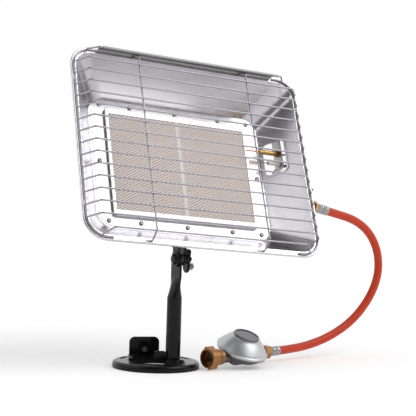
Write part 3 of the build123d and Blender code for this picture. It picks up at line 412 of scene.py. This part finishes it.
def seam_cement():
    """Pale cement strip between the plaques. Its right edge is toothed where it fills their end pits."""
    tone = colours().seam
    finish = Finish("seam_cement", tone, 0.9)
    across, depth, up = finish.parts(finish.place(HEAD))
    clumps = finish.noise(finish.place(HEAD), 420.0, 4.0, 0.65)
    edge = across.rising(0.0016, 0.0018)
    tooth = (up / (2.0 * sizes().row_pitch)).fraction().rising(0.5, 0.6)
    cement = finish.blend(clumps, shade(tone, 0.92), shade(tone, 1.05))
    finish.set("Base Color", finish.blend(edge * tooth, cement, shade(colours().ceramic, 0.75)))
    finish.set("Roughness", 0.75 + clumps * 0.2)
    finish.set("Normal", finish.relief(clumps, 0.0003, 0.6))
    return finish.material


def fibre(name, tone, scale=420.0):
    finish = Finish(name, tone, 0.9)
    clumps = finish.noise(finish.place(HEAD), scale, 4.0, 0.65)
    finish.set("Base Color", finish.blend(clumps, shade(tone, 0.85), shade(tone, 1.08)))
    finish.set("Roughness", 0.75 + clumps * 0.2)
    finish.set("Normal", finish.relief(clumps, 0.0003, 0.6))
    return finish.material


def plated_wire():
    tone = colours().wire
    finish = Finish("plated_wire", tone, 0.2, 1.0)
    mottle = finish.noise(finish.place(HEAD), 160.0, 3.0)
    drawn = finish.noise(finish.place(HEAD, (1.0, 12.0, 12.0)), 90.0, 2.0)
    finish.set("Base Color", finish.blend(mottle, shade(tone, 0.82), shade(tone, 1.1)))
    finish.set("Roughness", 0.12 + mottle * 0.16)
    finish.set("Normal", finish.relief(drawn, 0.00003, 0.5))
    return finish.material


def turned_metal(name, matrix, tone, roughness, metallic=1.0, rings=(700.0, 40.0, 40.0)):
    """Turned or drawn metal with fine tool lines, and darker tone where hands and heat have dulled it."""
    finish = Finish(name, tone, roughness, metallic)
    lines = finish.noise(finish.place(matrix, rings), 1.6, 2.0)
    stain = finish.noise(finish.place(matrix), 130.0, 4.0, 0.6)
    finish.set("Base Color", finish.blend(stain, shade(tone, 0.72), shade(tone, 1.15)))
    finish.set("Roughness", roughness * 0.75 + stain * (roughness * 0.4) + lines * 0.06)
    finish.set("Normal", finish.relief(lines, 0.00004, 0.4))
    return finish.material


def cast_zinc():
    """Die-cast casing: a fine matt grain, brushed lightly over, with brighter high spots."""
    tone = colours().zinc
    finish = Finish("cast_zinc", tone, 0.38, 1.0)
    grain = finish.noise(finish.place(BELL), 1500.0, 2.0)
    cloud = finish.noise(finish.place(BELL), 70.0, 4.0, 0.55)
    brush = finish.noise(finish.place(BELL, (1.0, 1.0, 8.0)), 160.0, 2.0)
    finish.set("Base Color", finish.blend(cloud, shade(tone, 0.8), shade(tone, 1.18)))
    finish.set("Roughness", 0.22 + cloud * 0.10 + grain * 0.10)
    finish.set("Normal", finish.relief(grain, 0.00008, 0.6, finish.relief(brush, 0.00006, 0.4)))
    return finish.material


def black_paint():
    """Gloss stove enamel with a slight orange peel, a little dust and scuffs that dull it in places."""
    tone = colours().enamel
    finish = Finish("black_enamel", tone, 0.22, 0.0, Coat_Roughness=0.06, Specular_IOR_Level=0.14)
    peel = finish.noise(finish.place(), 420.0, 2.0)
    dust = finish.noise(finish.place(), 1300.0, 3.0, 0.7)
    scuff = finish.noise(finish.place(stretch=(30.0, 30.0, 4.0)), 5.0, 3.0)
    finish.set("Base Color", finish.blend(dust.rising(0.6, 0.9), tone, shade(tone, 2.0)))
    finish.set("Roughness", 0.18 + scuff * 0.16)
    finish.set("Coat Weight", 0.10 + scuff * 0.10)
    finish.set("Normal", finish.relief(peel, 0.00003, 0.25))
    return finish.material


def moulded(name, tone, roughness, scale=900.0):
    finish = Finish(name, tone, roughness)
    texture = finish.noise(finish.place(), scale, 2.0)
    wear = finish.noise(finish.place(), 90.0, 3.0)
    finish.set("Base Color", finish.blend(wear, shade(tone, 0.9), shade(tone, 1.2)))
    finish.set("Roughness", roughness * 0.8 + wear * (roughness * 0.4))
    finish.set("Normal", finish.relief(texture, 0.00006, 0.5))
    return finish.material


def hose_rubber():
    """Smooth orange-red rubber with a slight sheen, a fine grain and cloudy rubbed spots."""
    tone = colours().hose
    finish = Finish("hose_rubber", tone, 0.38, Specular_IOR_Level=0.3)
    cloud = finish.noise(finish.place(), 60.0, 4.0, 0.6)
    grain = finish.noise(finish.place(), 1400.0, 2.0)
    finish.set("Base Color", finish.blend(cloud, shade(tone, 0.86), shade(tone, 1.14)))
    finish.set("Roughness", 0.30 + cloud * 0.14 + grain * 0.05)
    finish.set("Normal", finish.relief(grain, 0.00005, 0.5))
    return finish.material


def glazed():
    """White glazed sleeve of the spark electrode, with its heat-stained steel wire beyond the end."""
    finish = Finish("glazed_ceramic", (0.82, 0.80, 0.76), 0.18)
    cloud = finish.noise(finish.place(HEAD), 240.0, 3.0)
    across, depth, up = finish.parts(finish.place(HEAD))
    glaze = across.rising(SLEEVE_END - 0.0001, SLEEVE_END + 0.0001)
    white = finish.blend(cloud, (0.74, 0.71, 0.66), (0.86, 0.85, 0.82))
    finish.set("Base Color", finish.blend(glaze, (0.42, 0.33, 0.22), white))
    finish.set("Metallic", 1.0 - glaze)
    finish.set("Roughness", 0.32 - glaze * 0.16 + cloud * 0.12)
    finish.set("Normal", finish.relief(cloud, 0.00005, 0.4))
    return finish.material


# Meshes


def new_piece(name, shape, material, body, smooth=35.0):
    """Makes a mesh object from a finished bmesh, and lets it ride on a body."""
    mesh = bpy.data.meshes.new(name)
    bmesh.ops.recalc_face_normals(shape, faces=shape.faces)
    shape.to_mesh(mesh)
    shape.free()
    piece = bpy.data.objects.new(name, mesh)
    bpy.context.scene.collection.objects.link(piece)
    mesh.materials.append(material)
    mesh.shade_smooth()
    mesh.set_sharp_from_angle(angle=math.radians(smooth))
    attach(piece, body)
    return piece


def edges_between(verts):
    """The edges that join the given vertices to each other."""
    wanted = set(verts)
    found = []
    for vert in verts:
        for edge in vert.link_edges:
            if edge.other_vert(vert) in wanted and edge not in found:
                found.append(edge)
    return found


def bridge_rings(shape, rings):
    for first, second in zip(rings, rings[1:]):
        bmesh.ops.bridge_loops(shape, edges=edges_between(first) + edges_between(second))


def turned_shape(shape, place, profile, sides):
    """A closed turned body: profile gives its radius at each distance along the Z of place."""
    rings = []
    for radius, along in profile:
        ring = bmesh.ops.create_circle(shape, segments=sides, radius=radius, cap_ends=not rings,
                                       matrix=place @ Matrix.Translation((0, 0, along)))
        rings.append(ring["verts"])
    before = set(shape.faces)
    bridge_rings(shape, rings)
    sides_made = [face for face in shape.faces if face not in before]
    bmesh.ops.contextual_create(shape, geom=edges_between(rings[-1]))
    return sides_made


def dress(material, *names):
    for name in names:
        mesh = NODES[name].data
        mesh.materials.clear()
        mesh.materials.append(material)


class HEATER_OT_stage(bpy.types.Operator):
    """Puts up the floor, the soft lights, the pale surroundings and the camera"""

    bl_idname = "heater.stage"
    bl_label = "Studio stage"

    def execute(self, context):
        scene = context.scene
        scene.view_settings.view_transform = "Standard"
        self.camera(scene)
        self.floor()
        self.sky(scene)
        self.lamp("key_light", (0.98, -1.10, 1.52), (0.05, 0.0, 0.22), 1.5, studio().key_power)
        self.lamp("left_light", (-1.75, 0.10, 1.15), (0.0, 0.0, 0.2), 1.7, studio().left_power)
        return {"FINISHED"}

    def camera(self, scene):
        data = bpy.data.cameras.new("camera")
        data.lens = studio().lens
        data.sensor_width = 36.0
        data.clip_start = 0.01
        camera = bpy.data.objects.new("camera", data)
        scene.collection.objects.link(camera)
        aim = Vector(CAMERA_FORWARD).to_track_quat("-Z", "Y").to_matrix().to_4x4()
        roll = Matrix.Rotation(CAMERA_ROLL, 4, "Z")
        camera.matrix_world = Matrix.Translation(CAMERA_PLACE) @ aim @ roll
        scene.camera = camera

    def floor(self):
        finish = Finish("studio_floor", colours().floor, 0.75)
        grain = finish.noise(finish.place(), 40.0, 3.0)
        across, ahead, up = finish.parts(finish.place())
        sideways = across - FLOOR_MIDDLE
        away = (sideways * sideways + ahead * ahead) ** 0.5
        seen, mirrored, through = finish.seen()
        shown = seen.larger(mirrored).larger(through)
        white = shown * away.rising(SHADOW_REACH, WHITE_FROM)
        near = finish.blend(grain, shade(colours().floor, 0.99), colours().floor)
        finish.set("Base Color", finish.blend(white, near, (0.0, 0.0, 0.0)))
        finish.set("Emission Color", (seen * 0.11 + 0.16) * (1.0 - white) + white)
        finish.set("Emission Strength", 1.0)
        shape = bmesh.new()
        bmesh.ops.create_grid(shape, x_segments=2, y_segments=2, size=6.0)
        mesh = bpy.data.meshes.new("studio_floor")
        shape.to_mesh(mesh)
        shape.free()
        floor = bpy.data.objects.new("studio_floor", mesh)
        bpy.context.scene.collection.objects.link(floor)
        mesh.materials.append(finish.material)

    def sky(self, scene):
        """A white backdrop behind the object, an even soft light, and a darker room for reflections."""
        world = bpy.data.worlds.new("studio_surroundings")
        scene.world = world
        world.use_nodes = True
        room = Nodes(world.node_tree)
        seen, mirrored, through = room.seen()
        across, ahead, up = room.parts(room.node("ShaderNodeTexCoord", output="Generated"))
        behind = (across * BACKDROP[0] + ahead * BACKDROP[1]).rising(-0.45, 0.25)
        room_tone = studio().dark_side + behind * (1.0 - studio().dark_side)
        white = seen.larger(through)
        strength = studio().sky * (1.0 - mirrored) * (1.0 - white) + mirrored * room_tone + white
        soft = world.node_tree.nodes["Background"]
        soft.inputs["Color"].default_value = (1.0, 1.0, 1.0, 1.0)
        world.node_tree.links.new(strength.socket, soft.inputs["Strength"])

    def lamp(self, name, place, target, size, power):
        data = bpy.data.lights.new(name, "AREA")
        data.shape = "SQUARE"
        data.size = size
        data.energy = power
        lamp = bpy.data.objects.new(name, data)
        bpy.context.scene.collection.objects.link(lamp)
        aim = Vector(target) - Vector(place)
        lamp.matrix_world = Matrix.Translation(place) @ aim.to_track_quat("-Z", "Y").to_matrix().to_4x4()


class HEATER_OT_hose(bpy.types.Operator):
    """Lays the gas hose on its route between the two ferrules"""

    bl_idname = "heater.hose"
    bl_label = "Gas hose"

    def execute(self, context):
        path = bpy.data.curves.new("hose_line", "CURVE")
        path.dimensions = "3D"
        path.resolution_u = 16
        line = path.splines.new("NURBS")
        line.points.add(len(HOSE_ROUTE) - 1)
        for point, place in zip(line.points, HOSE_ROUTE):
            point.co = (*place, 1.0)
        line.order_u = 3
        line.use_endpoint_u = True
        guide = bpy.data.objects.new("hose_line", path)
        traced = bpy.data.meshes.new_from_object(guide)
        points = [vertex.co.copy() for vertex in traced.vertices]
        bpy.data.objects.remove(guide)
        hose = self.tube(points)
        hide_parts("gas_hose")
        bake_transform(hose)
        head_end = self.ferrule("head_ferrule", "head_hose_ferrule", "head", points[0],
                                points[0] - points[1], HEAD_FERRULE_LENGTH)
        far_end = self.ferrule("regulator_ferrule", "regulator_hose_ferrule", "base", points[-1],
                               points[-1] - points[-2], REGULATOR_FERRULE_LENGTH)
        return {"FINISHED"}

    def ferrule(self, name, node, body, end, outward, length):
        """A ferrule of plated steel: beads at both ends, and rows of dents from the crimping tool."""
        place = Matrix.Translation(end) @ outward.to_track_quat("Z", "Y").to_matrix().to_4x4()
        big = sizes().ferrule_diameter / 2
        waist = big - FERRULE_DENT
        middle = FERRULE_MIDDLE * length
        profile = [(big - FERRULE_EDGE, 0.0), (big, FERRULE_EDGE), (big, FERRULE_BEAD),
                   (waist, FERRULE_SLOPE), (waist, middle), (big, middle + 0.0006),
                   (big, middle + 0.0020), (waist, middle + 0.0026), (waist, length - FERRULE_SLOPE),
                   (big, length - FERRULE_BEAD), (big, length - FERRULE_EDGE),
                   (big - FERRULE_EDGE, length)]
        shape = bmesh.new()
        walls = turned_shape(shape, place, profile, 2 * sizes().crimps)
        axis = (place.to_3x3() @ Vector((0, 0, 1))).normalized()
        dented = []
        for face in walls:
            along = (face.calc_center_median() - end).dot(axis)
            between_beads = 0.0036 < along < length - 0.0036
            if between_beads and face.calc_area() > 0.000008:
                dented.append(face)
        bmesh.ops.inset_individual(shape, faces=dented, thickness=FERRULE_DENT, depth=-0.00030)
        piece = new_piece(name, shape, bpy.data.materials["crimped_chrome"], body, 50.0)
        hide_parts(node)
        return piece

    def tube(self, points):
        """A round tube along the points, open at both ends, where the ferrules close it."""
        shape = bmesh.new()
        radius = sizes().hose_diameter / 2
        sides = 24
        rings = []
        turn = None
        for index, point in enumerate(points):
            before = points[max(index - 1, 0)]
            after = points[min(index + 1, len(points) - 1)]
            along = (after - before).normalized()
            if turn is None:
                turn = along.to_track_quat("Z", "Y")
            else:
                turn = (turn @ Vector((0, 0, 1))).rotation_difference(along) @ turn
            made = bmesh.ops.create_circle(shape, segments=sides, radius=radius,
                                           matrix=Matrix.Translation(point) @ turn.to_matrix().to_4x4())
            rings.append(made["verts"])
        bridge_rings(shape, rings)
        mesh = bpy.data.meshes.new("gas_hose_tube")
        bmesh.ops.recalc_face_normals(shape, faces=shape.faces)
        shape.to_mesh(mesh)
        shape.free()
        hose = bpy.data.objects.new("gas_hose_tube", mesh)
        bpy.context.scene.collection.objects.link(hose)
        mesh.materials.append(hose_rubber())
        mesh.shade_smooth()
        return hose


class HEATER_OT_regulator(bpy.types.Operator):
    """Puts the pressed cover on the regulator, with its rolled rim and the step round the cap"""

    bl_idname = "heater.regulator"
    bl_label = "Regulator cover"

    def execute(self, context):
        step = [(0.0158, 0.01785), (0.0166, 0.0176), (0.0170, 0.0168)]
        flank = [(0.0184, 0.0156), (0.0204, 0.0138), (0.0226, 0.0117), (0.0247, 0.0095), (0.0266, 0.0073),
                 (0.0282, 0.0054), (0.0292, 0.0041), (0.0298, 0.0031)]
        rim = [(0.0303, 0.0028), (0.0308, 0.0023), (0.0309, 0.0017), (0.0309, 0.0008), (0.0306, 0.0001)]
        shape = bmesh.new()
        turned_shape(shape, BELL, step + flank + rim, 72)
        cover = new_piece("pressed_cover", shape, bpy.data.materials["cast_zinc"], "base", 30.0)
        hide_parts("regulator_cover")
        return {"FINISHED"}


class HEATER_OT_screws(bpy.types.Operator):
    """Sets the cross-recess screws into the burner frame"""

    bl_idname = "heater.screws"
    bl_label = "Frame screws"

    def execute(self, context):
        places = [(x, z) for x in SCREW_COLUMNS for z in (-SCREW_ROW, SCREW_ROW)]
        places += [(-SCREW_MIDDLE, 0.0), (SCREW_MIDDLE, 0.0)]
        shape = bmesh.new()
        for index, (x, z) in enumerate(places):
            outward = Matrix.Rotation(math.radians(90), 4, "X")
            seat = HEAD @ Matrix.Translation((x, -FRAME_SHEET, z)) @ outward
            self.screw(shape, seat @ Matrix.Rotation(1.3 * index, 4, "Z"))
        screws = new_piece("cross_screws", shape, bpy.data.materials["zinc_plated"], "head", 40.0)
        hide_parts("frame_screws")
        return {"FINISHED"}

    def screw(self, shape, seat):
        """A pan head: a cross pressed into a small square field, and rings that round the head off."""
        radius = sizes().screw_head / 2
        top = seat @ Matrix.Translation((0, 0, SCREW_HEIGHT))
        field = bmesh.ops.create_grid(shape, x_segments=3, y_segments=3, size=CROSS_FIELD * radius,
                                      matrix=top)
        cells = list({face for vert in field["verts"] for face in vert.link_faces})
        level = top.inverted()
        cross = []
        for face in cells:
            middle = level @ face.calc_center_median()
            if min(abs(middle.x), abs(middle.y)) < CROSS_ARM * radius:
                cross.append(face)
        rings = [[vert for vert in field["verts"] if vert.is_boundary]]
        for share, drop in ((0.74, 0.00012), (0.92, 0.0005), (1.0, 0.0011), (1.0, SCREW_HEIGHT)):
            ring = bmesh.ops.create_circle(shape, segments=12, radius=share * radius,
                                           matrix=seat @ Matrix.Translation((0, 0, SCREW_HEIGHT - drop)))
            rings.append(ring["verts"])
        bridge_rings(shape, rings)
        bmesh.ops.contextual_create(shape, geom=edges_between(rings[-1]))
        bmesh.ops.inset_region(shape, faces=cross, thickness=0.0001, depth=-0.0007)


class HEATER_OT_finishes(bpy.types.Operator):
    """Gives every carried-over solid its surface finish"""

    bl_idname = "heater.finishes"
    bl_label = "Surface finishes"

    def execute(self, context):
        tone = colours()
        pan = bright_sheet("polished_reflector", HEAD, tone.steel, 0.20)
        dress(pan, "reflector_pan")
        dress(bright_sheet("burner_frame_sheet", HEAD, tone.steel, 0.26), "burner_frame")
        dress(bright_sheet("visor_sheet", HEAD, shade(tone.dull_steel, 0.9), 0.34), "guard_visor")
        dull = bright_sheet("dull_sheet", HEAD, tone.dull_steel, 0.42, (8.0, 8.0, 8.0))
        dress(dull, "burner_box", "mixing_tube", "valve_bracket", "spark_bracket")
        dress(ceramic_face(), "ceramic_tile_left", "ceramic_tile_right")
        dress(seam_cement(), "tile_seam_strip")
        dress(fibre("gasket_fibre", tone.seam), "tile_gasket")
        dress(plated_wire(), "guard_cross_wires", "guard_upright_wires", "guard_side_rods")
        zinc = turned_metal("zinc_plated", HEAD, (0.40, 0.39, 0.40), 0.28)
        dress(zinc, "frame_screws", "pilot_plate", "yoke_screws", "hinge_bush", "wing_nut_pin",
              "clamp_screw")
        brass = turned_metal("turned_brass", HEAD, tone.brass, 0.24)
        dress(brass, "gas_injector", "gas_pipe", "valve_body", "valve_nut", "flame_sensor",
              "head_hose_nut")
        low_brass = turned_metal("regulator_brass", BELL, tone.worn_brass, 0.32)
        dress(low_brass, "inlet_hand_nut", "regulator_hose_nut")
        chrome = turned_metal("crimped_chrome", HEAD, (0.40, 0.40, 0.42), 0.16)
        dress(chrome, "head_hose_ferrule", "regulator_hose_ferrule", "inlet_stem")
        dress(cast_zinc(), "regulator_body", "regulator_cover", "regulator_cap")
        dress(black_paint(), "pole", "head_yoke", "base_ring", "foot_plate", "foot_screws", "clamp_bracket",
              "clamp_rivets", "hinge_bolt", "hinge_washer", "wing_nut")
        dress(moulded("blue_button", tone.button, 0.3), "valve_button")
        dress(moulded("black_moulding", (0.02, 0.02, 0.02), 0.5), "spark_unit", "spark_button")
        dress(moulded("black_rubber", (0.018, 0.018, 0.018), 0.6), "ignition_lead", "sensor_lead",
              "inlet_seal")
        dress(glazed(), "spark_electrode")
        return {"FINISHED"}


class HEATER_PT_panel(bpy.types.Panel):
    bl_idname = "HEATER_PT_panel"
    bl_label = "Gas radiant heater"
    bl_space_type = "VIEW_3D"
    bl_region_type = "UI"
    bl_category = "Heater"

    def draw(self, context):
        for operator in STEPS:
            self.layout.operator(operator.bl_idname)
        for group in (sizes(), colours(), studio()):
            box = self.layout.box()
            for field in group.bl_rna.properties:
                if field.identifier not in ("rna_type", "name"):
                    box.prop(group, field.identifier)


STEPS = (HEATER_OT_stage, HEATER_OT_finishes, HEATER_OT_screws, HEATER_OT_regulator, HEATER_OT_hose)
CLASSES = (HeaterSizes, HeaterColours, HeaterStudio, *STEPS, HEATER_PT_panel)


def register():
    for item in CLASSES:
        bpy.utils.register_class(item)
    bpy.types.Scene.heater_sizes = PointerProperty(type=HeaterSizes)
    bpy.types.Scene.heater_colours = PointerProperty(type=HeaterColours)
    bpy.types.Scene.heater_studio = PointerProperty(type=HeaterStudio)


def unregister():
    del bpy.types.Scene.heater_studio
    del bpy.types.Scene.heater_colours
    del bpy.types.Scene.heater_sizes
    for item in reversed(CLASSES):
        bpy.utils.unregister_class(item)


def main():
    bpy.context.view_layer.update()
    register()
    for step in STEPS:
        area, name = step.bl_idname.split(".")
        getattr(getattr(bpy.ops, area), name)()


if __name__ == "__main__":
    main()
